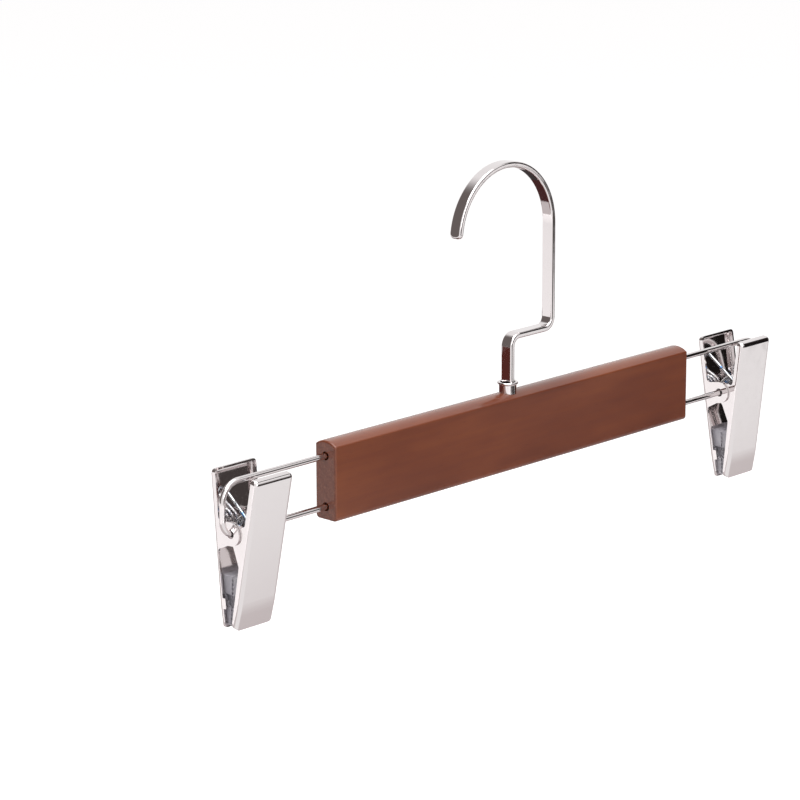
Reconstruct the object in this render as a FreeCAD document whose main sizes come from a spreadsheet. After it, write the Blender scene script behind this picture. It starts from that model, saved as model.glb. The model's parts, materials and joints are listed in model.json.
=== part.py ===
import FreeCAD, Part
import math
import os

doc = FreeCAD.newDocument("skirt_hanger")
vec = FreeCAD.Vector

# Driving dimensions, in millimetres and degrees
sizes = {
    # wooden bar
    "bar_length": 210,
    "bar_thick": 11,
    "bar_height": 31.4,
    "bar_crown": 1.8,
    "bar_crown_round": 0.7,
    "bar_foot_round": 1.6,
    "bar_end_round": 0.8,
    # wire loops in the ends of the bar
    "wire_dia": 2.4,
    "wire_depth": 22,
    "upper_wire_height": 25.4,
    "lower_wire_height": 5.3,
    "loop_reach": 55,
    "upper_bend": 8,
    "lower_bend": 5.5,
    "wire_bond": 0.03,
    "hole_mouth_dia": 3.5,
    "hole_mouth_depth": 1.2,
    # swivel hook of flat strip
    "strip_width": 5.6,
    "strip_thick": 2.4,
    "strip_edge_round": 0.8,
    "tip_round": 1.8,
    "hook_bore": 52,
    "hook_tip_angle": 3,
    "hook_setback": 3.1,
    "post_offset": 1.9,
    "hook_rise": 65.6,
    "crank_height": 22.7,
    "crank_bend": 4.2,
    # ferrule, washer and riveted end below the hook
    "ferrule_dia": 7,
    "ferrule_bore": 6,
    "ferrule_rim_dia": 8.4,
    "ferrule_rim_thick": 0.9,
    "ferrule_rim_round": 0.35,
    "ferrule_stand": 4.2,
    "ferrule_depth": 14,
    "ferrule_fit": 0.02,
    "tenon_dia": 2.4,
    "washer_dia": 6.6,
    "washer_thick": 1,
    "washer_fit": 0.02,
    "rivet_head_dia": 4,
    "rivet_head_height": 0.9,
    "rivet_head_round": 0.6,
    "rivet_room": 0.9,
    "swivel_gap": 0.15,
    # clip jaws of pressed sheet
    "clip_inset": 15.6,
    "jaw_sheet": 0.8,
    "jaw_width": 19.4,
    "nest_gap": 0.1,
    "jaw_tilt": 8,
    "face_offset": 8.95,
    "jaw_top": 24.4,
    "jaw_bottom": 37.3,
    "top_bend": 1.9,
    "side_bend": 1.6,
    "lever_flange": 3,
    "ear_radius": 4.6,
    "ear_notch_round": 1.5,
    "pivot_play": 0.6,
    "front_flange": 3.2,
    "rear_flange": 1.6,
    "tip_flange": 2.6,
    "front_window_slope": 7,
    "rear_window_slope": 2,
    "tip_curl_height": 9,
    "tip_curl_in": 0.6,
    "tip_curl_round": 70,
    "tip_corner_round": 2.6,
    "lug_drop": 7.7,
    "lug_height": 4.2,
    "lug_reach": 1.4,
    "lug_round": 0.5,
    "left_swing": 3.5,
    "right_swing": -1.5,
    # grip pads
    "pad_height": 20,
    "pad_tip_gap": 0.5,
    "pad_meeting_gap": 0.3,
    "pad_side_gap": 0.2,
    "pad_bond": 0.03,
    "pad_nose_round": 0.8,
    # torsion springs
    "spring_wire": 1.3,
    "coil_radius": 5.2,
    "coil_pitch": 2.2,
    "coil_turns": 4,
    "leg_lean": 50,
    "leg_seat_gap": 0.25,
}
sheet = doc.addObject("Spreadsheet::Sheet", "dims")
for row, (alias, value) in enumerate(sizes.items(), start=1):
    sheet.set(f"A{row}", alias)
    sheet.set(f"B{row}", str(value))
    sheet.setAlias(f"B{row}", alias)
doc.recompute()


def size(alias):
    return float(sheet.get(alias))


# Places shared by several pieces
bar_top = -size("hook_rise")
bar_bottom = bar_top - size("bar_height")
post_place = size("hook_setback")
bar_centre = post_place + size("post_offset")
pivot_height = bar_bottom + size("lower_wire_height")
clip_reach = size("bar_length") / 2 + size("loop_reach") - size("clip_inset")
rear_jaw_width = size("jaw_width") + 2 * (size("jaw_sheet") + size("nest_gap"))
hook_radius = size("hook_bore") / 2
shoulder = bar_top - size("ferrule_depth") - size("swivel_gap")
rivet_end = shoulder - size("washer_thick") - size("rivet_head_height")
tilt = math.radians(size("jaw_tilt"))
x_axis = vec(1, 0, 0)
z_axis = vec(0, 0, 1)


def corner(before, here, after, radius):
    # where a rounded corner of an outline starts, passes its middle and ends
    to_before = (before - here).normalize()
    to_after = (after - here).normalize()
    half_angle = to_before.getAngle(to_after) / 2
    trim = radius / math.tan(half_angle)
    bisector = (to_before + to_after).normalize()
    middle = here + bisector * (radius / math.sin(half_angle) - radius)
    return here + to_before * trim, middle, here + to_after * trim


def rounded(points, closed=True):
    # lines and arcs through (x, y, radius) points, each corner rounded by its radius
    places = [vec(x, y, 0) for x, y, radius in points]
    count = len(points)
    corners = []
    for i, (x, y, radius) in enumerate(points):
        is_end = not closed and i in (0, count - 1)
        if radius == 0 or is_end:
            corners.append((places[i], None, places[i]))
        else:
            corners.append(corner(places[i - 1], places[i], places[(i + 1) % count], radius))
    edges = []
    for i, (start, middle, end) in enumerate(corners):
        if middle is not None:
            edges.append(Part.Arc(start, middle, end))
        if i == count - 1 and not closed:
            break
        following = corners[(i + 1) % count][0]
        if end.distanceToPoint(following) > 1e-6:
            edges.append(Part.LineSegment(end, following))
    return edges


def new_body(label):
    body = doc.addObject("PartDesign::Body", label)
    body.Label = label
    return body


def sketch_on(body, role, name, edges):
    plane = next(item for item in body.Origin.OriginFeatures if item.Role == role)
    sketch = body.newObject("Sketcher::SketchObject", name)
    sketch.AttachmentSupport = [(plane, "")]
    sketch.MapMode = "FlatFace"
    sketch.addGeometry(edges, False)
    return sketch


def symmetric(body, kind, name, sketch, length):
    # a pad or pocket reaching equally far to both sides of its sketch
    feature = body.newObject("PartDesign::" + kind, name)
    feature.Profile = sketch
    feature.Midplane = True
    feature.setExpression("Length", length)
    doc.recompute()
    if kind == "Pocket":
        confirm_cut(feature)
    return feature


def confirm_cut(feature):
    # a cut has to leave less than the feature that it starts from
    if feature.Shape.Volume >= feature.BaseFeature.Shape.Volume:
        raise RuntimeError(f"{feature.Label}: nothing was cut away")


def revolve(body, name, sketch):
    feature = body.newObject("PartDesign::Revolution", name)
    feature.Profile = sketch
    feature.ReferenceAxis = (sketch, ["V_Axis"])
    feature.Angle = 360
    doc.recompute()
    return feature


def drill(body, name, radius, depth, place, direction):
    # a round hole of given radius and depth that starts at a place and runs in a direction
    tool = body.newObject("PartDesign::SubtractiveCylinder", name)
    tool.setExpression("Radius", radius)
    tool.setExpression("Height", depth)
    tool.Placement = FreeCAD.Placement(place, FreeCAD.Rotation(z_axis, direction))
    doc.recompute()
    confirm_cut(tool)


def fillet(body, name, base, edges, radius):
    feature = body.newObject("PartDesign::Fillet", name)
    feature.Base = (base, edges)
    feature.setExpression("Radius", radius)
    doc.recompute()
    return feature


def edge_names(feature, wanted):
    # names of the feature's edges that a test on the edge picks
    edges = feature.Shape.Edges
    return [f"Edge{i + 1}" for i, edge in enumerate(edges) if wanted(edge)]


# Wooden bar: section with a crowned top run along X, drilled at both ends and in its top
def make_bar():
    body = new_body("wooden_bar")
    half = size("bar_thick") / 2
    foot = size("bar_foot_round")
    top = size("bar_height")
    crown_foot = top - size("bar_crown")
    sides = rounded([
        (half, crown_foot, 0),
        (half, 0, foot),
        (-half, 0, foot),
        (-half, crown_foot, 0),
    ], closed=False)
    crown = Part.Arc(vec(-half, crown_foot, 0), vec(0, top, 0), vec(half, crown_foot, 0))
    section = sketch_on(body, "YZ_Plane", "bar_section", sides + [crown])
    stock = symmetric(body, "Pad", "bar_stock", section, "dims.bar_length")

    def under_crown(edge):
        place = edge.CenterOfMass
        return abs(place.z - crown_foot) < 0.001 and abs(abs(place.y) - half) < 0.001

    bar = fillet(body, "eased_crown", stock, edge_names(stock, under_crown), "dims.bar_crown_round")
    end = size("bar_length") / 2
    at_end = edge_names(bar, lambda edge: abs(edge.CenterOfMass.x) > end - 0.001)
    fillet(body, "eased_ends", bar, at_end, "dims.bar_end_round")
    for side, way in (("left", -1), ("right", 1)):
        for level in ("upper", "lower"):
            height = size(level + "_wire_height")
            start = vec(way * end, 0, height)
            inward = vec(-way, 0, 0)
            drill(body, f"{side}_{level}_hole", "dims.wire_dia / 2 + dims.wire_bond",
                  "dims.wire_depth + dims.wire_bond", start, inward)
            drill(body, f"{side}_{level}_mouth", "dims.hole_mouth_dia / 2",
                  "dims.hole_mouth_depth", start, inward)
    below_ferrule = "dims.swivel_gap + dims.washer_thick + dims.rivet_head_height + dims.rivet_room"
    drill(body, "hook_hole", "dims.ferrule_dia / 2 + dims.ferrule_fit",
          "dims.ferrule_depth + " + below_ferrule, vec(-size("post_offset"), 0, top), -z_axis)
    body.setExpression("Placement.Base.x", "dims.hook_setback + dims.post_offset")
    body.setExpression("Placement.Base.z", "-dims.hook_rise - dims.bar_height")
    return body


# Wire loops: hairpins whose two legs end in the bar
def make_loop(label, way):
    body = new_body(label)
    upper = size("upper_wire_height") - size("lower_wire_height")
    reach = size("wire_depth") + size("loop_reach") - size("wire_dia") / 2
    path = sketch_on(body, "XZ_Plane", label + "_path", rounded([
        (0, upper, 0),
        (reach, upper, size("upper_bend")),
        (reach, 0, size("lower_bend")),
        (0, 0, 0),
    ], closed=False))
    circle = Part.Circle(vec(0, upper, 0), vec(0, 0, 1), size("wire_dia") / 2)
    section = sketch_on(body, "YZ_Plane", label + "_section", [circle])
    doc.recompute()
    pipe = body.newObject("PartDesign::AdditivePipe", label + "_wire")
    pipe.Profile = section
    pipe.Spine = (path, [f"Edge{i + 1}" for i in range(len(path.Shape.Edges))])
    angle = 0 if way > 0 else 180
    inner_end = bar_centre + way * (size("bar_length") / 2 - size("wire_depth"))
    body.Placement = FreeCAD.Placement(vec(inner_end, 0, pivot_height), FreeCAD.Rotation(z_axis, angle))
    doc.recompute()
    return body


# Swivel hook: strip bent edge-on in the XZ plane, with a round riveted end below its shoulder
def make_hook():
    body = new_body("swivel_hook")
    thick = size("strip_thick")
    half_width = size("strip_width") / 2
    middle = hook_radius + thick / 2
    crank = bar_top + size("crank_height")
    tip = math.radians(180 - size("hook_tip_angle"))
    spread = math.tan((tip - math.pi / 2) / 2)

    def side(shift):
        # one side of the strip, shifted outwards from its middle line
        radius = middle + shift
        return [
            (shift, shoulder, 0),
            (shift, crank - shift, size("crank_bend") - shift),
            (radius - post_place, crank - shift, size("crank_bend") + shift),
            (radius - post_place, radius, radius),
            (-radius * spread - post_place, radius, radius),
            (radius * math.cos(tip) - post_place, radius * math.sin(tip), 0),
        ]

    outline = rounded(side(thick / 2) + side(-thick / 2)[::-1])
    sketch = sketch_on(body, "XZ_Plane", "hook_outline", outline)
    strip = symmetric(body, "Pad", "hook_strip", sketch, "dims.strip_width")
    end = vec(middle * math.cos(tip) - post_place, 0, middle * math.sin(tip))

    def crosses_tip(edge):
        place = edge.CenterOfMass - end
        return abs(place.Length - half_width) < 0.001 and abs(abs(place.y) - half_width) < 0.001

    nose = fillet(body, "rounded_tip", strip, edge_names(strip, crosses_tip), "dims.tip_round")

    def lies_along(edge):
        is_side = abs(abs(edge.CenterOfMass.y) - half_width) < 0.001
        return is_side and edge.BoundBox.ZMax > shoulder + thick

    fillet(body, "eased_strip", nose, edge_names(nose, lies_along), "dims.strip_edge_round")
    tenon = size("tenon_dia") / 2
    head = size("rivet_head_dia") / 2
    under_washer = shoulder - size("washer_thick")
    profile = rounded([
        (0, shoulder + thick, 0),
        (tenon, shoulder + thick, 0),
        (tenon, under_washer, 0),
        (head, under_washer, 0),
        (head, rivet_end, size("rivet_head_round")),
        (0, rivet_end, 0),
    ])
    revolve(body, "riveted_end", sketch_on(body, "XZ_Plane", "rivet_profile", profile))
    body.setExpression("Placement.Base.x", "dims.hook_setback")
    return body


# Ferrule: tube in the top of the bar with a flared rim standing above the wood
def make_ferrule():
    body = new_body("hook_ferrule")
    bore = size("ferrule_bore") / 2
    outer = size("ferrule_dia") / 2
    rim = size("ferrule_rim_dia") / 2
    stand = size("ferrule_stand")
    thick = size("ferrule_rim_thick")
    lip = size("ferrule_rim_round")
    profile = rounded([
        (bore, -size("ferrule_depth"), 0),
        (outer, -size("ferrule_depth"), 0),
        (outer, stand - thick, lip),
        (rim, stand - thick, lip),
        (rim, stand, lip),
        (bore, stand, lip),
    ])
    revolve(body, "ferrule_turned", sketch_on(body, "XZ_Plane", "ferrule_profile", profile))
    body.setExpression("Placement.Base.x", "dims.hook_setback")
    body.setExpression("Placement.Base.z", "-dims.hook_rise")
    return body


# Washer: held on the hook's tenon by the riveted head, below the ferrule
def make_washer():
    body = new_body("hook_washer")
    bore = size("tenon_dia") / 2 + size("washer_fit")
    outer = size("washer_dia") / 2
    thick = size("washer_thick")
    profile = rounded([(bore, 0, 0), (outer, 0, 0), (outer, -thick, 0), (bore, -thick, 0)])
    revolve(body, "washer_blank", sketch_on(body, "XZ_Plane", "washer_profile", profile))
    body.setExpression("Placement.Base.x", "dims.hook_setback")
    body.setExpression("Placement.Base.z", "-dims.hook_rise - dims.ferrule_depth - dims.swivel_gap")
    return body


# Clip frame: pivot on the lower wire, X along it, front towards -Y
def clip_placement(way, half_turn=False, leaning=False):
    place = vec(bar_centre + way * clip_reach, 0, pivot_height)
    swing = size("left_swing") if way < 0 else size("right_swing")
    turn = FreeCAD.Rotation(x_axis, swing)
    if half_turn:
        turn = turn * FreeCAD.Rotation(z_axis, 180)
    if leaning:
        turn = turn * FreeCAD.Rotation(x_axis, size("jaw_tilt"))
    return FreeCAD.Placement(place, turn)


def tip_line(inset):
    # outer face of a jaw moved inwards by an inset: its offset, then height, radius and slope of its curl
    face = size("face_offset") - inset
    bend_height = size("tip_curl_height") - size("jaw_bottom")
    curl = math.atan2(size("tip_curl_in"), size("tip_curl_height"))
    knee = bend_height + inset * math.tan(curl / 2)
    knee_round = size("tip_curl_round") - inset
    slope = math.tan(curl)
    return face, knee, knee_round, slope


def round_tip(body, label, half_width, low, radius):
    # takes the two lower corners off a jaw or a pad, as seen from its face
    for side, way in (("left", -1), ("right", 1)):
        edge = way * half_width
        inner = way * (half_width - radius)
        beyond = way * (half_width + radius)
        outline = rounded([
            (edge, low + radius, 0),
            (edge, low, radius),
            (inner, low, 0),
            (inner, low - radius, 0),
            (beyond, low - radius, 0),
            (beyond, low + radius, 0),
        ])
        sketch = sketch_on(body, "XZ_Plane", f"{label}_{side}_corner", outline)
        symmetric(body, "Pocket", f"{label}_{side}_tip_round", sketch, "4 * dims.face_offset")


def lug(foot, head):
    # tab on the slanting edge of a flange, which keeps the pad in its tray
    def on_edge(up):
        share = (up - foot[1]) / (head[1] - foot[1])
        return foot[0] + (head[0] - foot[0]) * share

    low = foot[1] + size("lug_drop")
    high = low + size("lug_height")
    reach = size("lug_reach")
    return [
        (on_edge(low), low, 0),
        (on_edge(low) + reach, low, size("lug_round")),
        (on_edge(high) + reach, high, size("lug_round")),
        (on_edge(high), high, 0),
    ]


# Jaw: tray of pressed sheet with a lipped top, side flanges, ears on the pivot and a curled tip
def make_jaw(label, way, is_rear):
    body = new_body(label)
    sheet_thick = size("jaw_sheet")
    top = size("jaw_top")
    bottom = -size("jaw_bottom")
    ear = size("ear_radius")
    flange = size("rear_flange") if is_rear else size("front_flange")
    window = size("rear_window_slope") if is_rear else size("front_window_slope")
    face, knee, knee_round, slope = tip_line(0)
    tip = face - (knee - bottom) * slope
    lever = face - size("lever_flange")
    ear_foot = (face - flange) / 4
    flange_foot = (size("tip_flange") - face, bottom)
    flange_head = (flange - face, -ear - window)
    side = rounded([
        (-lever, top, 0),
        (-face, top, size("top_bend")),
        (-face, knee, knee_round),
        (-tip, bottom, 0),
        (*flange_foot, 0),
        *(lug(flange_foot, flange_head) if is_rear else []),
        (*flange_head, size("ear_notch_round")),
        (-ear_foot, -ear, size("ear_notch_round")),
        (ear, -ear, ear),
        (ear, ear, ear),
        (-lever, ear, size("ear_notch_round")),
    ])
    width = "dims.jaw_width"
    half_width = size("jaw_width") / 2
    if is_rear:
        width = "dims.jaw_width + 2 * (dims.jaw_sheet + dims.nest_gap)"
        half_width = rear_jaw_width / 2
    outline = sketch_on(body, "YZ_Plane", label + "_side", side)
    blank = symmetric(body, "Pad", label + "_blank", outline, width)

    def on_outside(edge):
        place = edge.CenterOfMass
        is_side = abs(abs(place.x) - half_width) < 0.001
        above_tip = edge.BoundBox.ZMin > bottom - 0.001 and edge.BoundBox.ZMax > bottom + 0.001
        outer = place.y < -tip + 0.001 or place.z > top - size("top_bend")
        return is_side and above_tip and outer and edge.BoundBox.YMax < -lever + 0.001

    fillet(body, label + "_side_bends", blank, edge_names(blank, on_outside), "dims.side_bend")
    inner_face, inner_knee, inner_round, slope = tip_line(sheet_thick)
    below = bottom - size("tip_curl_height")
    inner_tip = inner_face - (inner_knee - below) * slope
    beyond = 3 * ear
    hollow = rounded([
        (-inner_face, top - sheet_thick, size("top_bend") - sheet_thick),
        (-inner_face, inner_knee, inner_round),
        (-inner_tip, below, 0),
        (beyond, below, 0),
        (beyond, top - sheet_thick, 0),
    ])
    cut = sketch_on(body, "YZ_Plane", label + "_inside", hollow)
    tray = symmetric(body, "Pocket", label + "_hollow", cut, width + " - 2 * dims.jaw_sheet")

    def inside_bend(edge):
        place = edge.CenterOfMass
        is_side = abs(abs(place.x) - half_width + sheet_thick) < 0.001
        return is_side and edge.BoundBox.YMax < -lever + 0.001 and abs(place.y + inner_face) < 0.001

    fillet(body, label + "_inner_bends", tray, edge_names(tray, inside_bend),
           "dims.side_bend - dims.jaw_sheet")
    round_tip(body, label, half_width, bottom, size("tip_corner_round"))
    drill(body, label + "_pivot_hole", "dims.wire_dia / 2 + dims.pivot_play", width + " + 2 * dims.jaw_sheet",
          vec(-half_width - sheet_thick, 0, 0), x_axis)
    body.Placement = clip_placement(way, is_rear, True)
    return body


# Grip pad: fills the tip of a jaw's tray up to the plane where the two pads meet
def make_pad(label, way, is_rear):
    body = new_body(label)
    back, knee, knee_round, slope = tip_line(size("jaw_sheet") + size("pad_bond"))
    low = size("pad_tip_gap") - size("jaw_bottom")
    high = low + size("pad_height")
    half_gap = size("pad_meeting_gap") / 2 / math.cos(tilt)

    def meeting(up):
        return half_gap - up * math.tan(tilt)

    tip = back - (knee - low) * slope
    section = rounded([
        (-back, high, 0),
        (-back, knee, knee_round),
        (-tip, low, 0),
        (-meeting(low), low, size("pad_nose_round")),
        (-meeting(high), high, size("pad_nose_round")),
    ])
    room = "dims.jaw_width - 2 * (dims.jaw_sheet + dims.pad_side_gap)"
    half_width = size("jaw_width") / 2 - size("jaw_sheet") - size("pad_side_gap")
    profile = sketch_on(body, "YZ_Plane", label + "_section", section)
    block = symmetric(body, "Pad", label + "_block", profile, room)

    def along_back(edge):
        place = edge.CenterOfMass
        return abs(abs(place.x) - half_width) < 0.001 and place.y < -tip

    fillet(body, label + "_back_edges", block, edge_names(block, along_back),
           "dims.side_bend - dims.jaw_sheet")
    round_tip(body, label, half_width, low, size("tip_corner_round") - size("pad_tip_gap"))
    body.Placement = clip_placement(way, is_rear, True)
    return body


def biarc(start, start_way, end, end_way):
    # two arcs that leave one point and reach the next in given directions
    chord = end - start
    both = start_way + end_way
    spread = 2 * (1 - start_way.dot(end_way))
    along = chord.dot(both)
    reach = (math.sqrt(along * along + spread * chord.dot(chord)) - along) / spread
    joint = (start + end + (start_way - end_way) * reach) / 2
    arcs = []
    for first, second, way in ((start, joint, start_way), (end, joint, end_way * -1)):
        span = second - first
        lean = way.getAngle(span)
        aside = (way - span * (way.dot(span) / span.dot(span))).normalize()
        crown = (first + second) / 2 + aside * (span.Length / 2 * math.tan(lean / 2))
        arcs.append((first, crown, second))
    return Part.Arc(*arcs[0]).toShape(), Part.Arc(*arcs[1][::-1]).toShape()


# Torsion spring: coil round the lower wire, its two legs crossing over to press the levers apart
def make_spring(label, way):
    radius = size("coil_radius")
    wire = size("spring_wire")
    lean = math.radians(size("leg_lean"))
    first = math.pi - lean
    last = lean + 2 * math.pi * size("coil_turns")
    climb = size("coil_pitch") / (2 * math.pi)
    middle = (first + last) / 2

    def on_coil(angle):
        return vec(climb * (angle - middle), radius * math.cos(angle), radius * math.sin(angle))

    def heading(angle):
        return vec(climb, -radius * math.sin(angle), radius * math.cos(angle)).normalize()

    quarters = round((last - first) / (math.pi / 2))
    angles = [first + (last - first) * i / quarters for i in range(quarters + 1)]
    leg_way = heading(first) * -1
    outward = vec(0, math.cos(tilt), -math.sin(tilt))
    slant = leg_way.dot(outward)
    edge_reach = wire / 2 * math.sqrt(1 - slant * slant)
    seat = size("face_offset") - size("jaw_sheet") - size("leg_seat_gap") - edge_reach
    leg = (seat - on_coil(first).dot(outward)) / slant
    edges = [Part.LineSegment(on_coil(first) + leg_way * leg, on_coil(first)).toShape()]
    for one, other in zip(angles, angles[1:]):
        edges.extend(biarc(on_coil(one), heading(one), on_coil(other), heading(other)))
    edges.append(Part.LineSegment(on_coil(last), on_coil(last) + heading(last) * leg).toShape())
    spine = Part.Wire(edges)
    section = Part.Wire([Part.Circle(on_coil(first) + leg_way * leg, leg_way, wire / 2).toShape()])
    pipe = Part.BRepOffsetAPI.MakePipeShell(spine)
    pipe.add(section)
    pipe.build()
    pipe.makeSolid()
    spring = doc.addObject("Part::Feature", label)
    spring.Label = label
    spring.Shape = pipe.shape()
    spring.Placement = clip_placement(way)
    print(label, "least gap between its turns:", round(self_gap(spine, wire), 2))
    return spring


def self_gap(spine, wire):
    # least clear distance between stretches of the wire that aren't neighbours along it
    step = wire / 2
    points = spine.discretize(Distance=step)
    apart = math.ceil(4 * wire / step)
    distances = []
    for i, point in enumerate(points):
        distances.extend(point.distanceToPoint(other) for other in points[i + apart:])
    return min(distances) - wire


pieces = [make_bar(), make_hook(), make_ferrule(), make_washer()]
for side, way in (("left", -1), ("right", 1)):
    pieces.append(make_loop(side + "_wire_loop", way))
    pieces.append(make_jaw(side + "_front_jaw", way, False))
    pieces.append(make_jaw(side + "_rear_jaw", way, True))
    pieces.append(make_pad(side + "_front_pad", way, False))
    pieces.append(make_pad(side + "_rear_pad", way, True))
    pieces.append(make_spring(side + "_spring", way))
doc.recompute()

# Every object has to be sound before any piece is written
for item in doc.Objects:
    faults = [state for state in item.State if state in ("Invalid", "Error")]
    if faults:
        raise RuntimeError(f"{item.Label}: {faults}")
for piece in pieces:
    shape = piece.Shape
    if shape.isNull() or not shape.isValid() or len(shape.Solids) != 1:
        raise RuntimeError(f"{piece.Label}: not one sound solid")

os.makedirs("parts", exist_ok=True)
for piece in pieces:
    piece.Shape.exportStep(f"parts/{piece.Label}.step")
    box = piece.Shape.BoundBox
    print(f"{piece.Label}: volume {piece.Shape.Volume:.1f}, x {box.XMin:.2f} to {box.XMax:.2f},"
          f" y {box.YMin:.2f} to {box.YMax:.2f}, z {box.ZMin:.2f} to {box.ZMax:.2f}")
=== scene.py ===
import bmesh
import bpy
import json
import math
from mathutils import Matrix, Vector


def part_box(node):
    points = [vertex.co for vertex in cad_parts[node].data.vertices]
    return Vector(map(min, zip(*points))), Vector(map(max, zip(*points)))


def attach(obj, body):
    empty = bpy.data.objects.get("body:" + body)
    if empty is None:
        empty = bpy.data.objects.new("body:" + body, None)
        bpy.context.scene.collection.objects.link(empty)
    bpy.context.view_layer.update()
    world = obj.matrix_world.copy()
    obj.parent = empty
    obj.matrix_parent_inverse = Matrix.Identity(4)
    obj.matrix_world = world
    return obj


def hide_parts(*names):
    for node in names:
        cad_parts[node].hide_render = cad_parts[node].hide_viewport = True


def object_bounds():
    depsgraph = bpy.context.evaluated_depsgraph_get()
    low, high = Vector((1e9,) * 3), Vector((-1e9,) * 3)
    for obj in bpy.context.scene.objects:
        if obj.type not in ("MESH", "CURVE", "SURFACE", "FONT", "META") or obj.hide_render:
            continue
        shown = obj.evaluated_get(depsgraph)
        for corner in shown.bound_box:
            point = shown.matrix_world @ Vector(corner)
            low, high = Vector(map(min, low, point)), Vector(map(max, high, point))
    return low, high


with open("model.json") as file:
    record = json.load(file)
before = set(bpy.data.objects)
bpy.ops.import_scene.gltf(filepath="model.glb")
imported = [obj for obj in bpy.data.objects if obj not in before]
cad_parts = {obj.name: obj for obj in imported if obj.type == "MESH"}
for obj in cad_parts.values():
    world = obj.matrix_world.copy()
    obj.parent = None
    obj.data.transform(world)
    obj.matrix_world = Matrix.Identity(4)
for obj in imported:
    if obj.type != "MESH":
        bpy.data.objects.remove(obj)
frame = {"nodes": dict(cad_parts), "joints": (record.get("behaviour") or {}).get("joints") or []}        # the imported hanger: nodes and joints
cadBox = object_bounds()     # the solids' own box, before any piece is added
mm = 0.001
sides = ("left", "right")
halves = ("front", "rear")
joints = {joint["name"]: joint for joint in frame["joints"]}
sharpAngle = 32.0        # degrees, from which an edge is shaded sharp


def linear(hexColour):
    # sRGB hex to linear RGBA
    channels = [int(hexColour[i:i + 2], 16) / 255 for i in (1, 3, 5)]
    curve = [c / 12.92 if c <= 0.04045 else ((c + 0.055) / 1.055) ** 2.4 for c in channels]
    return (*curve, 1.0)


def feed(tree, node, inputs):
    # an input is a value or the socket that feeds it
    for name, value in inputs.items():
        if isinstance(value, bpy.types.NodeSocket):
            tree.links.new(value, node.inputs[name])
        else:
            node.inputs[name].default_value = value


def addNode(tree, kind, settings=None, inputs=None):
    # one node with its settings and what goes into it
    node = tree.nodes.new("ShaderNode" + kind)
    for name, value in (settings or {}).items():
        setattr(node, name, value)
    feed(tree, node, inputs or {})
    return node


def newMaterial(name):
    material = bpy.data.materials.new(name)
    material.use_nodes = True
    tree = material.node_tree
    shader = tree.nodes["Principled BSDF"]
    return material, tree, shader


def setStops(ramp, stops):
    # colour ramp from (place, hex) pairs
    elements = ramp.color_ramp.elements
    while len(elements) < len(stops):
        elements.new(1.0)
    for element, (place, colour) in zip(elements, stops):
        element.position = place
        element.color = linear(colour)


def perCell(size):
    # scale that makes one cell of a pattern so many millimetres
    return 1 / (size * mm)


def perSize(sizes):
    # the same in three directions
    return [perCell(size) for size in sizes]


walnut = {
    "stain": [(0.3, "#5a2612"), (0.5, "#6b3219"), (0.72, "#7c3f20")],
    "poreStain": "#421e13",
    "endGrain": [(0.3, "#5c2a18"), (0.55, "#693420"), (0.8, "#7b452f")],
    "ringSpacing": 3.4,               # mm between growth rings
    "ringStretch": (0.06, 1.0, 1.0),  # rings hardly change along the bar
    "ringWobble": 2.2,
    "pith": (0.0, 31.0, -22.0),       # mm from the bar's foot to the heart of the log
    "streak": (46.0, 2.2, 2.2),       # mm, length and width of a streak of fibres
    "blotch": (70.0, 24.0, 24.0),     # mm
    "blotchShare": 0.75,              # of the stain's unevenness; the rest is streaks
    "pore": (5.0, 0.5, 0.5),          # mm, drawn twice as wide as real pores, so that they show
    "poreEdge": (0.62, 0.75),         # levels of the pattern where a pore begins and is full
    "poreShade": 0.3,
    "poreDepth": 0.04,                # mm
    "poreRelief": 0.5,
    "endFacing": (0.55, 0.95),        # how far a face looks along the bar, from side to sawn end
    "endDot": 0.9,                    # mm, fibres seen end on
    "ringShare": 0.12,                # of the end grain's unevenness; the rest is dots
    "streakEdge": (0.3, 0.7),         # levels of the streaks between the two roughnesses
    "stainRough": (0.45, 0.6),
    "lacquerRough": 0.2,
}


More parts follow.
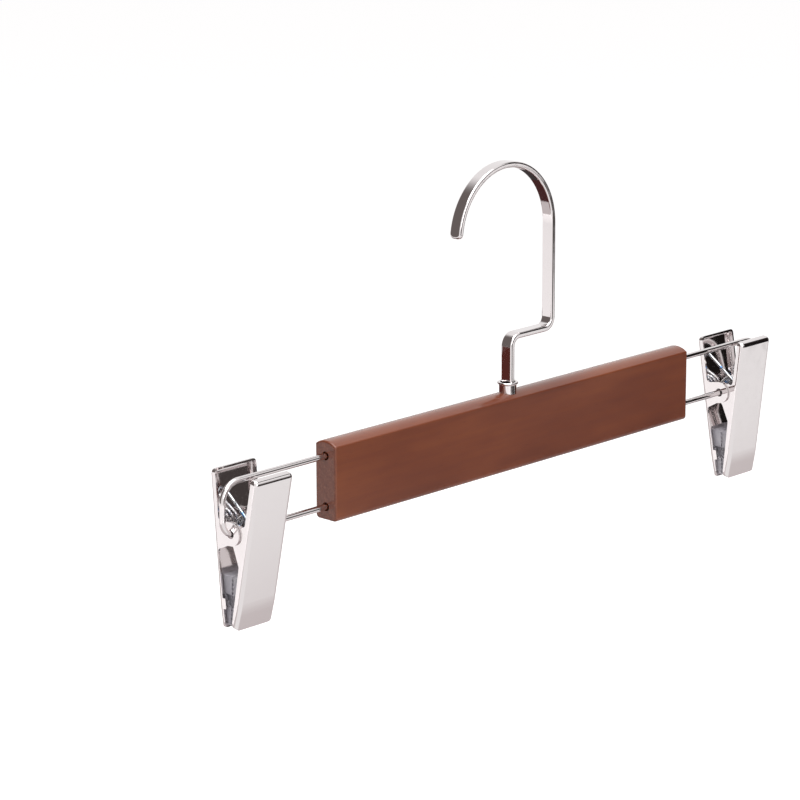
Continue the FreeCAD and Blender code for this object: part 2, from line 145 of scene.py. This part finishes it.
def stainedWalnut():
    # Beech planed, stained walnut brown and sprayed with satin lacquer: calm streaks, short dark pores,
    # paler open end grain and a soft broad gloss
    material, tree, shader = newMaterial("stainedWalnut")
    coords = addNode(tree, "TexCoord")
    place = coords.outputs["Object"]
    barLow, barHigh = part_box("wooden_bar")
    heart = Vector(((barLow.x + barHigh.x) / 2, 0, barLow.z)) + Vector(walnut["pith"]) * mm
    fromHeart = addNode(tree, "Mapping", {"vector_type": "POINT"}, {"Vector": place, "Location": -heart})
    flattened = addNode(tree, "VectorMath", {"operation": "MULTIPLY"},
                        {0: fromHeart.outputs[0], 1: walnut["ringStretch"]})
    ringPeriod = 0.1 * math.pi   # spacing of the pattern's rings at a scale of 1
    rings = addNode(tree, "TexWave", {"wave_type": "RINGS", "rings_direction": "X"}, {
        "Vector": flattened.outputs[0], "Scale": ringPeriod / (walnut["ringSpacing"] * mm),
        "Distortion": walnut["ringWobble"], "Detail": 3.0, "Detail Scale": 0.35})
    stretched = addNode(tree, "Mapping", None, {"Vector": place, "Scale": perSize(walnut["streak"])})
    streaks = addNode(tree, "TexNoise", None, {"Vector": stretched.outputs[0], "Scale": 1.0, "Detail": 5.0})
    patches = addNode(tree, "Mapping", None, {"Vector": place, "Scale": perSize(walnut["blotch"])})
    blotches = addNode(tree, "TexNoise", None, {"Vector": patches.outputs[0], "Scale": 1.0, "Detail": 3.0})
    tone = addNode(tree, "Mix", {"data_type": "FLOAT"},
                   {0: walnut["blotchShare"], 2: streaks.outputs["Fac"], 3: blotches.outputs["Fac"]})
    stain = addNode(tree, "ValToRGB", None, {"Fac": tone.outputs[0]})
    setStops(stain, walnut["stain"])

    dashed = addNode(tree, "Mapping", None, {"Vector": place, "Scale": perSize(walnut["pore"])})
    fibres = addNode(tree, "TexNoise", None, {"Vector": dashed.outputs[0], "Scale": 1.0, "Detail": 2.0})
    poreStart, poreFull = walnut["poreEdge"]
    pores = addNode(tree, "MapRange", None, {
        "Value": fibres.outputs["Fac"], "From Min": poreStart, "From Max": poreFull})
    poreDark = addNode(tree, "Math", {"operation": "MULTIPLY"},
                       {0: pores.outputs[0], 1: walnut["poreShade"]})
    poreStain = linear(walnut["poreStain"])
    sideColour = addNode(tree, "Mix", {"data_type": "RGBA"},
                         {0: poreDark.outputs[0], 6: stain.outputs["Color"], 7: poreStain})

    # the sawn ends show the fibres end on: paler, with rings
    facing = addNode(tree, "SeparateXYZ", None, {0: coords.outputs["Normal"]})
    sideways = addNode(tree, "Math", {"operation": "ABSOLUTE"}, {0: facing.outputs["X"]})
    sideFacing, endFacing = walnut["endFacing"]
    isEnd = addNode(tree, "MapRange", None, {
        "Value": sideways.outputs[0], "From Min": sideFacing, "From Max": endFacing})
    dots = addNode(tree, "TexNoise", None,
                   {"Vector": place, "Scale": perCell(walnut["endDot"]), "Detail": 3.0})
    endTone = addNode(tree, "Mix", {"data_type": "FLOAT"},
                      {0: walnut["ringShare"], 2: dots.outputs["Fac"], 3: rings.outputs["Fac"]})
    endGrain = addNode(tree, "ValToRGB", None, {"Fac": endTone.outputs[0]})
    setStops(endGrain, walnut["endGrain"])
    colour = addNode(tree, "Mix", {"data_type": "RGBA"},
                     {0: isEnd.outputs[0], 6: sideColour.outputs[2], 7: endGrain.outputs["Color"]})

    streakLow, streakHigh = walnut["streakEdge"]
    smooth, rough = walnut["stainRough"]
    gloss = addNode(tree, "MapRange", None, {
        "Value": streaks.outputs["Fac"], "From Min": streakLow, "From Max": streakHigh,
        "To Min": smooth, "To Max": rough})
    relief = addNode(tree, "Bump", {"invert": True}, {
        "Strength": walnut["poreRelief"], "Distance": walnut["poreDepth"] * mm, "Height": pores.outputs[0]})
    feed(tree, shader, {
        "Base Color": colour.outputs[2], "Roughness": gloss.outputs[0], "Specular IOR Level": 0.1,
        "Coat Weight": 0.9, "Coat IOR": 1.5, "Coat Roughness": walnut["lacquerRough"],
        "Normal": relief.outputs[0]})
    return material


plate = {
    "colour": "#e2dcdc",
    "wave": 9.0,                   # mm, slow waves that pressing leaves in thin sheet
    "smear": 3.5,                  # mm, size of wiped patches
    "smearEdge": (0.35, 0.7),      # levels of the pattern for clean and wiped plate
    "sheet": (0.05, 0.11, 0.012),  # roughness of clean and wiped plate, depth of the waves in mm
    "strip": (0.04, 0.1, 0.005),
    "wire": (0.06, 0.12, 0.0),
}


def chromePlate(name, cleanRough, wipedRough, waveDepth):
    # Pressed or drawn steel with bright chrome plate: mirror gloss, faintly wavy, wiped a little dull
    # in patches
    material, tree, shader = newMaterial(name)
    place = addNode(tree, "TexCoord").outputs["Object"]
    wave = addNode(tree, "TexNoise", None,
                   {"Vector": place, "Scale": perCell(plate["wave"]), "Detail": 1.0})
    relief = addNode(tree, "Bump", None, {
        "Strength": 1.0, "Distance": waveDepth * mm, "Height": wave.outputs["Fac"]})
    smear = addNode(tree, "TexNoise", None,
                    {"Vector": place, "Scale": perCell(plate["smear"]), "Detail": 4.0})
    clean, wiped = plate["smearEdge"]
    gloss = addNode(tree, "MapRange", None, {
        "Value": smear.outputs["Fac"], "From Min": clean, "From Max": wiped,
        "To Min": cleanRough, "To Max": wipedRough})
    feed(tree, shader, {
        "Base Color": linear(plate["colour"]), "Metallic": 1.0, "Roughness": gloss.outputs[0],
        "Normal": relief.outputs[0]})
    return material


zinc = {
    "blueTint": [(0.3, "#6d93c4"), (0.38, "#b4b9c0"), (0.75, "#c6c4bf")],
    "patch": 2.6,             # mm, size of the blue patches
    "patchEdge": (0.3, 0.7),  # levels of the patches between the two roughnesses
    "rough": (0.14, 0.28),
}


def blueZinc():
    # Spring wire zinc plated: grey metal, tinted blue in patches
    material, tree, shader = newMaterial("blueTintedZinc")
    place = addNode(tree, "TexCoord").outputs["Object"]
    patches = addNode(tree, "TexNoise", None,
                      {"Vector": place, "Scale": perCell(zinc["patch"]), "Detail": 2.0})
    blueTint = addNode(tree, "ValToRGB", None, {"Fac": patches.outputs["Fac"]})
    setStops(blueTint, zinc["blueTint"])
    low, high = zinc["patchEdge"]
    smooth, rough = zinc["rough"]
    gloss = addNode(tree, "MapRange", None, {
        "Value": patches.outputs["Fac"], "From Min": low, "From Max": high,
        "To Min": smooth, "To Max": rough})
    feed(tree, shader, {
        "Base Color": blueTint.outputs["Color"], "Metallic": 1.0, "Roughness": gloss.outputs[0]})
    return material


vinyl = {
    "colour": [(0.3, "#98949c"), (0.7, "#a7a4a9")],
    "cloud": 6.0,         # mm, faint clouds in the melt
    "grit": 0.35,         # mm, matt grain of the mould
    "gritDepth": 0.02,    # mm
    "gritRelief": 0.4,
    "rough": 0.48,
    "scatter": 0.25,
    "scatterDepth": 1.2,  # mm
}


def greyVinyl():
    # Soft PVC, moulded in a matt tool: grey, a little translucent at thin edges, with a waxy sheen
    material, tree, shader = newMaterial("greyVinyl")
    place = addNode(tree, "TexCoord").outputs["Object"]
    clouds = addNode(tree, "TexNoise", None,
                     {"Vector": place, "Scale": perCell(vinyl["cloud"]), "Detail": 2.0})
    colour = addNode(tree, "ValToRGB", None, {"Fac": clouds.outputs["Fac"]})
    setStops(colour, vinyl["colour"])
    grit = addNode(tree, "TexNoise", None,
                   {"Vector": place, "Scale": perCell(vinyl["grit"]), "Detail": 2.0})
    relief = addNode(tree, "Bump", None, {
        "Strength": vinyl["gritRelief"], "Distance": vinyl["gritDepth"] * mm,
        "Height": grit.outputs["Fac"]})
    feed(tree, shader, {
        "Base Color": colour.outputs["Color"], "Roughness": vinyl["rough"], "IOR": 1.53,
        "Subsurface Weight": vinyl["scatter"], "Subsurface Radius": (1.0, 1.0, 1.0),
        "Subsurface Scale": vinyl["scatterDepth"] * mm, "Normal": relief.outputs[0]})
    return material


woodFinish = stainedWalnut()
clipFinish = chromePlate("chromePlatedSheet", *plate["sheet"])
stripFinish = chromePlate("chromePlatedStrip", *plate["strip"])
wireFinish = chromePlate("chromePlatedWire", *plate["wire"])
springFinish = blueZinc()
padFinish = greyVinyl()
print("materials: wood, chrome, zinc and vinyl")


def dress(node, material):
    piece = frame["nodes"][node]
    if not piece.material_slots:
        piece.data.materials.append(material)
    for slot in piece.material_slots:
        slot.material = material


dress("wooden_bar", woodFinish)
dress("swivel_hook", stripFinish)
dress("hook_ferrule", wireFinish)
dress("hook_washer", springFinish)
for side in sides:
    dress(side + "_wire_loop", wireFinish)
    dress(side + "_spring", springFinish)
    for half in halves:
        dress(f"{side}_{half}_jaw", clipFinish)
        dress(f"{side}_{half}_pad", padFinish)
print("solids dressed")


def addPiece(name, bm, material, body, node):
    # a finished mesh as a piece that rides on a body and stands for a solid
    mesh = bpy.data.meshes.new(name)
    for face in bm.faces:
        face.smooth = True
    bm.to_mesh(mesh)
    bm.free()
    mesh.set_sharp_from_angle(angle=math.radians(sharpAngle))
    mesh.materials.append(material)
    piece = bpy.data.objects.new(name, mesh)
    bpy.context.scene.collection.objects.link(piece)
    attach(piece, body)
    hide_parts(node)
    return piece


gripPad = {
    "ribs": 11,           # ribs across the face that grips
    "ribDepth": 0.42,     # mm
    "edgeRound": 0.13,    # mm, on every moulded edge
    "notchLow": 7.0,      # mm above the pad's foot, where the tray's tab lies
    "notchHigh": 11.6,
    "notchRim": 0.4,
    "notchDepth": 1.5,
    "weld": 0.002,        # mm, within which the solid's points are one
    "onFace": 0.001,      # mm, within which a point lies on the gripping face
    "flat": 1.0,          # degrees, up to which neighbouring faces are one
    "round": 30.0,        # degrees, from which an edge is rounded
}


def isNotch(face, way, up, foot):
    # a face in the pad's side, at the height of the tab
    height = face.calc_center_median().dot(up) - foot
    isSide = face.normal.x * way > 0.99
    return isSide and gripPad["notchLow"] * mm < height < gripPad["notchHigh"] * mm


def makePad(side, half):
    # the solid's own form, with ribs across the gripping face and a recess in both sides for the tray's tab
    node = f"{side}_{half}_pad"
    bm = bmesh.new()
    bm.from_mesh(frame["nodes"][node].data)
    bmesh.ops.remove_doubles(bm, verts=bm.verts, dist=gripPad["weld"] * mm)
    bmesh.ops.dissolve_limit(bm, angle_limit=math.radians(gripPad["flat"]), verts=bm.verts, edges=bm.edges)
    inward = Vector((0, 1, 0)) if half == "front" else Vector((0, -1, 0))
    inner = [face for face in bm.faces if face.normal.dot(inward) > 0.9]
    gripFace = max(inner, key=lambda face: face.calc_area())
    out = gripFace.normal.copy()
    spot = gripFace.verts[0].co.copy()
    up = (Vector((0, 0, 1)) - out * out.z).normalized()
    levels = [vert.co.dot(up) for vert in gripFace.verts]
    foot = min(levels)
    step = (max(levels) - foot) / (2 * gripPad["ribs"])
    for row in range(1, 2 * gripPad["ribs"]):
        everything = bm.verts[:] + bm.edges[:] + bm.faces[:]
        level = up * (foot + row * step)
        bmesh.ops.bisect_plane(bm, geom=everything, dist=1e-7, plane_co=level, plane_no=up)
    for vert in bm.verts:
        row = (vert.co.dot(up) - foot) / step
        isOnFace = abs((vert.co - spot).dot(out)) < gripPad["onFace"] * mm
        if isOnFace and abs(row - round(row)) < 0.01 and round(row) % 2 == 1:
            vert.co -= out * gripPad["ribDepth"] * mm
    bm.normal_update()
    for way in (-1, 1):
        recess = [face for face in bm.faces if isNotch(face, way, up, foot)]
        bmesh.ops.inset_region(bm, faces=recess, thickness=gripPad["notchRim"] * mm, use_even_offset=True)
        floorVerts = list(dict.fromkeys(vert for face in recess for vert in face.verts))
        bmesh.ops.translate(bm, verts=floorVerts, vec=(-way * gripPad["notchDepth"] * mm, 0, 0))
    bm.normal_update()
    roundFrom = math.radians(gripPad["round"])
    sharp = [edge for edge in bm.edges if edge.is_manifold and edge.calc_face_angle() > roundFrom]
    bmesh.ops.bevel(bm, geom=sharp, offset=gripPad["edgeRound"] * mm, offset_type="OFFSET", segments=2,
                    profile=0.5, affect="EDGES", clamp_overlap=True, material=-1)
    bmesh.ops.recalc_face_normals(bm, faces=bm.faces)
    pad = addPiece(f"{side}_{half}_grip", bm, padFinish, f"{side}_{half}", node)


spring = {
    "wire": 1.3,          # mm
    "radius": 5.2,        # mm, to the middle of the wire
    "pitch": 2.2,         # mm a turn
    "turns": 4,
    "lean": 50.0,         # degrees, where the legs leave the coil
    "leg": 16.9,          # mm, straight stretch up to the lever
    "swing": {"left": 3.5, "right": -1.5},   # degrees that each clip hangs out of the upright
    "play": 18.0,         # degrees of coil at each end that turn with a leg
    "tuck": 24.0,         # degrees that a leg reaches on inside the coil
    "thinner": 0.03,      # mm, so that a leg slips inside the coil's skin
    "endRound": 0.12,     # mm, at the cut ends
    "sides": 18,
    "arcStep": 8.0,       # degrees
}
legStart = math.pi - math.radians(spring["lean"])
legEnd = math.radians(spring["lean"]) + 2 * math.pi * spring["turns"]
climb = spring["pitch"] * mm / (2 * math.pi)


def coilPlace(angle):
    radius = spring["radius"] * mm
    along = climb * (angle - (legStart + legEnd) / 2)
    return Vector((along, radius * math.cos(angle), radius * math.sin(angle)))


def coilHeading(angle):
    radius = spring["radius"] * mm
    return Vector((climb, -radius * math.sin(angle), radius * math.cos(angle))).normalized()


def windWire(start, turn, wire):
    # wire wound from one angle of the coil by a turn, and the ring of edges that it starts from
    bm = bmesh.new()
    facing = coilHeading(start).to_track_quat("Z", "Y").to_matrix().to_4x4()
    ring = bmesh.ops.create_circle(bm, segments=spring["sides"], radius=wire * mm / 2,
                                   matrix=Matrix.Translation(coilPlace(start)) @ facing)
    startEdges = bm.edges[:]
    steps = max(1, round(abs(math.degrees(turn)) / spring["arcStep"]))
    bmesh.ops.spin(bm, geom=ring["verts"] + startEdges, cent=(0, 0, 0), axis=(1, 0, 0), angle=turn,
                   steps=steps, dvec=(climb * turn / steps, 0, 0))
    return bm, startEdges


def finishWire(bm, side):
    # caps the ends and puts the wire on its clip's pivot
    ends = [edge for edge in bm.edges if edge.is_boundary]
    caps = bmesh.ops.holes_fill(bm, edges=ends, sides=0)["faces"]
    rims = list(dict.fromkeys(edge for face in caps for edge in face.edges))   # each once, in order
    bmesh.ops.bevel(bm, geom=rims, offset=spring["endRound"] * mm, offset_type="OFFSET", segments=2,
                    profile=0.5, affect="EDGES", clamp_overlap=True, material=-1)
    bmesh.ops.recalc_face_normals(bm, faces=bm.faces)
    pivot = Vector(joints[side + "_front_hinge"]["pos_m"])
    hang = Matrix.Rotation(math.radians(spring["swing"][side]), 4, "X")
    bmesh.ops.transform(bm, matrix=Matrix.Translation(pivot) @ hang, verts=bm.verts)


def makeSpring(side):
    # coil on the clip and one leg on each jaw, so that the legs follow their levers
    node = side + "_spring"
    play = math.radians(spring["play"])
    tuck = play + math.radians(spring["tuck"])
    bm = windWire(legStart + play, legEnd - legStart - 2 * play, spring["wire"])[0]
    finishWire(bm, side)
    addPiece(side + "_springCoil", bm, springFinish, side + "_clip", node)
    for half, start, way in (("rear", legStart, -1), ("front", legEnd, 1)):
        bm, startEdges = windWire(start, -way * tuck, spring["wire"] - spring["thinner"])
        grown = bmesh.ops.extrude_edge_only(bm, edges=startEdges)["geom"]
        tips = [item for item in grown if isinstance(item, bmesh.types.BMVert)]
        bmesh.ops.translate(bm, verts=tips, vec=coilHeading(start) * way * spring["leg"] * mm)
        finishWire(bm, side)
        addPiece(f"{side}_springLeg_{half}", bm, springFinish, f"{side}_{half}", node)


for side in sides:
    makeSpring(side)
    for half in halves:
        makePad(side, half)
print("pieces: grip pads and springs")

shot = {
    "target": (-59.1, 0.0, -57.4),   # mm, what the middle of the picture shows
    "azimuth": -46.0,                # degrees, from the front towards the left end
    "elevation": 14.64,              # degrees
    "roll": -0.17,                   # degrees
    "distance": 1299.0,              # mm
    "lens": 150.9,                   # mm
}


def addCamera():
    camera = bpy.data.objects.new("camera", bpy.data.cameras.new("camera"))
    bpy.context.scene.collection.objects.link(camera)
    camera.data.lens = shot["lens"]
    turn = Matrix.Rotation(math.radians(shot["azimuth"]), 4, "Z")
    tip = Matrix.Rotation(math.radians(90 - shot["elevation"]), 4, "X")
    roll = Matrix.Rotation(math.radians(shot["roll"]), 4, "Z")
    stand = Matrix.Translation(Vector(shot["target"]) * mm)
    back = Matrix.Translation((0, 0, shot["distance"] * mm))
    camera.matrix_world = stand @ turn @ tip @ roll @ back
    bpy.context.scene.camera = camera


studio = {
    "floorSize": 14.0,         # m
    "floorDrop": 0.42,         # m below the lowest clip, because the hanger hangs
    "floorColour": "#f2f0f0",
    "floorGlow": 0.5,
    "skyLevel": 0.54,
    "boardHeight": -69.0,      # mm
    "paintedShadowColour": "#d6cfcf",   # painted shadow: grey card on the floor below the bar, standing for the hanger's shade there, which shows only in the metal
    "cardSize": 1.5,           # m, from its middle to each edge
    "cardShift": 0.4,          # m to the right
    "cardLift": 0.005,         # m above the floor
    "cardTurn": 13.0,          # degrees, to the right of the bar's own line
    "cardFade": (0.18, 0.39),  # m in front of the bar, where the card fades into the floor's white
    "screenSteps": 48,
}
boards = {
    # boards behind the bar, which show only in reflections: two corners in X and Y in mm, colour
    "nearBoard": ((-90.0, 8.0), (110.0, 66.0), "#5a2e29"),
    "farBoard": ((-32.0, 66.0), (40.0, 140.0), "#4a2b2b"),
    "greyBoard": ((40.0, 66.0), (150.0, 140.0), "#423c3c"),
}
screens = {
    # cloth that shows only in reflections: degrees from +X, radius and height of its two long edges in m,
    # colour, axis along which it fades, place where it starts to fade and place where it is white
    "frontScreen": ((-100.0, -45.5), ((1.7, -0.52), (1.7, 0.9)), "#484241", (0, 0, 1), (0.1, 0.8)),
    "narrowScreen": ((-45.5, -39.0), ((1.7, -0.25), (1.7, 0.9)), "#141212", (0, 0, 1), (0.35, 0.8)),
    "middleScreen": ((-39.0, -29.0), ((1.7, -0.54), (1.7, 1.3)), "#1c1918", (0, 0, 1), (0.95, 1.28)),
    "rightScreen": ((-29.0, -12.0), ((1.7, -0.54), (1.7, 2.4)), "#332e2d", (0, 0, 1), (1.7, 2.3)),
    "lowRightScreen": ((-12.0, 12.0), ((1.7, -0.54), (1.7, 1.2)), "#332e2d", (0, 0, 1), (0.3, 1.1)),
    "greyHem": ((-41.8, -39.0), ((1.7, -0.45), (1.7, -0.3)), "#5a5655", (0, 0, -1), (0.345, 0.445)),
    "darkHem": ((-75.0, -25.0), ((1.4, -0.546), (1.7, -0.503)), "#383231", (0, 0, 1), (0.0, 1.0)),
    "backLeftScreen": ((70.0, 176.0), ((1.7, -0.3), (1.7, 2.7)), "#716a68", (1, 0, 0), (-0.75, 0.45)),
}
lamps = {
    # name: place in m, size in m, power in W
    "overheadSoftbox": ((-0.25, -0.15, 1.25), 1.3, 24.0),
    "frontSoftbox": ((-0.6, -1.5, 0.55), 1.0, 7.0),
}
white = linear("#ffffff")
black = linear("#000000")
floorHeight = cadBox[0].z - studio["floorDrop"]


def whenSeen(tree):
    # 1 for rays that look at the backdrop directly, in metal or through glass
    path = addNode(tree, "LightPath")
    first = addNode(tree, "Math", {"operation": "MAXIMUM"},
                    {0: path.outputs["Is Camera Ray"], 1: path.outputs["Is Glossy Ray"]})
    both = addNode(tree, "Math", {"operation": "MAXIMUM"},
                   {0: first.outputs[0], 1: path.outputs["Is Transmission Ray"]})
    return both.outputs[0]


def addStage(name, bm, material):
    mesh = bpy.data.meshes.new(name)
    bm.to_mesh(mesh)
    bm.free()
    mesh.materials.append(material)
    thing = bpy.data.objects.new(name, mesh)
    bpy.context.scene.collection.objects.link(thing)
    return thing


def showOnlyInMetal(thing):
    thing.visible_camera = False
    thing.visible_diffuse = False
    thing.visible_shadow = False


def showOwnColour(tree, shader, colour):
    # a matt surface that keeps its colour however it is lit
    feed(tree, shader, {
        "Base Color": black, "Roughness": 1.0, "Specular IOR Level": 0.0,
        "Emission Color": colour, "Emission Strength": 1.0})


def addFloor():
    # white paper, which glows a little where it is looked at
    bm = bmesh.new()
    bmesh.ops.create_grid(bm, x_segments=1, y_segments=1, size=studio["floorSize"] / 2)
    bmesh.ops.translate(bm, verts=bm.verts, vec=(0, 0, floorHeight))
    material, tree, shader = newMaterial("whitePaper")
    glow = addNode(tree, "Math", {"operation": "MULTIPLY"}, {0: whenSeen(tree), 1: studio["floorGlow"]})
    feed(tree, shader, {
        "Base Color": linear(studio["floorColour"]), "Roughness": 0.9, "Specular IOR Level": 0.0,
        "Emission Color": white, "Emission Strength": glow.outputs[0]})
    addStage("floor", bm, material)


def fadingCloth(name, colour, axis, fadePlaces):
    # matt cloth, or the card of painted shadow, that fades into white between two places along an axis
    material, tree, shader = newMaterial(name)
    place = addNode(tree, "VectorMath", {"operation": "DOT_PRODUCT"},
                    {0: addNode(tree, "TexCoord").outputs["Object"], 1: axis})
    low, high = fadePlaces
    fade = addNode(tree, "MapRange", {"interpolation_type": "SMOOTHSTEP"}, {
        "Value": place.outputs["Value"], "From Min": low, "From Max": high})
    tone = addNode(tree, "Mix", {"data_type": "RGBA"}, {0: fade.outputs[0], 6: linear(colour), 7: white})
    showOwnColour(tree, shader, tone.outputs[2])
    return material


def addScreen(name, angles, edges, colour, axis, fadePlaces):
    # cloth bent round the set, which fades into white
    first, last = (math.radians(angle) for angle in angles)
    bm = bmesh.new()
    ends = []
    for radius, height in edges:
        ends.append(bm.verts.new((radius * math.cos(first), radius * math.sin(first), height)))
    edge = bm.edges.new(ends)
    bmesh.ops.spin(bm, geom=ends + [edge], cent=(0, 0, 0), axis=(0, 0, 1), angle=last - first,
                   steps=studio["screenSteps"])
    cloth = fadingCloth(name + "Cloth", colour, axis, fadePlaces)
    showOnlyInMetal(addStage(name, bm, cloth))


def addPaintedShadow():
    # painted shadow: a grey card just above the floor, below the hanger, which stands for the hanger's own
    # shade on the floor and shows only in the metal
    turn = Matrix.Rotation(math.radians(-studio["cardTurn"]), 4, "Z")
    bm = bmesh.new()
    bmesh.ops.create_grid(bm, x_segments=1, y_segments=1, size=studio["cardSize"], matrix=turn)
    spot = (studio["cardShift"], 0, floorHeight + studio["cardLift"])
    bmesh.ops.translate(bm, verts=bm.verts, vec=spot)
    forward = turn @ Vector((0, -1, 0))
    card = fadingCloth("paintedShadowCard", studio["paintedShadowColour"], forward, studio["cardFade"])
    showOnlyInMetal(addStage("card", bm, card))


def addBoard(name, low, high, colour):
    # a board lying behind the bar
    material, tree, shader = newMaterial(name + "Paint")
    showOwnColour(tree, shader, linear(colour))
    span = Matrix.Diagonal((high[0] - low[0], high[1] - low[1], 1.0))
    middle = ((low[0] + high[0]) / 2, (low[1] + high[1]) / 2, studio["boardHeight"])
    lie = Matrix.Translation(Vector(middle) * mm) @ (span * mm).to_4x4()
    bm = bmesh.new()
    bmesh.ops.create_grid(bm, x_segments=1, y_segments=1, size=0.5, matrix=lie)
    showOnlyInMetal(addStage(name, bm, material))


def addLight():
    world = bpy.data.worlds.new("studio")
    bpy.context.scene.world = world
    world.use_nodes = True
    tree = world.node_tree
    level = addNode(tree, "MapRange", None, {"Value": whenSeen(tree), "To Min": studio["skyLevel"]})
    feed(tree, tree.nodes["Background"], {"Color": white, "Strength": level.outputs[0]})
    aim = (cadBox[0] + cadBox[1]) / 2
    for name, (place, size, power) in lamps.items():
        lamp = bpy.data.lights.new(name, "AREA")
        lamp.size = size
        lamp.energy = power
        box = bpy.data.objects.new(name, lamp)
        bpy.context.scene.collection.objects.link(box)
        box.location = place
        box.rotation_euler = (aim - Vector(place)).to_track_quat("-Z", "Y").to_euler()


addCamera()
addFloor()
for name, screen in screens.items():
    addScreen(name, *screen)
for name, board in boards.items():
    addBoard(name, *board)
addPaintedShadow()
addLight()
bpy.context.scene.view_settings.view_transform = "Standard"
print("studio: camera, floor and", len(lamps), "softboxes")
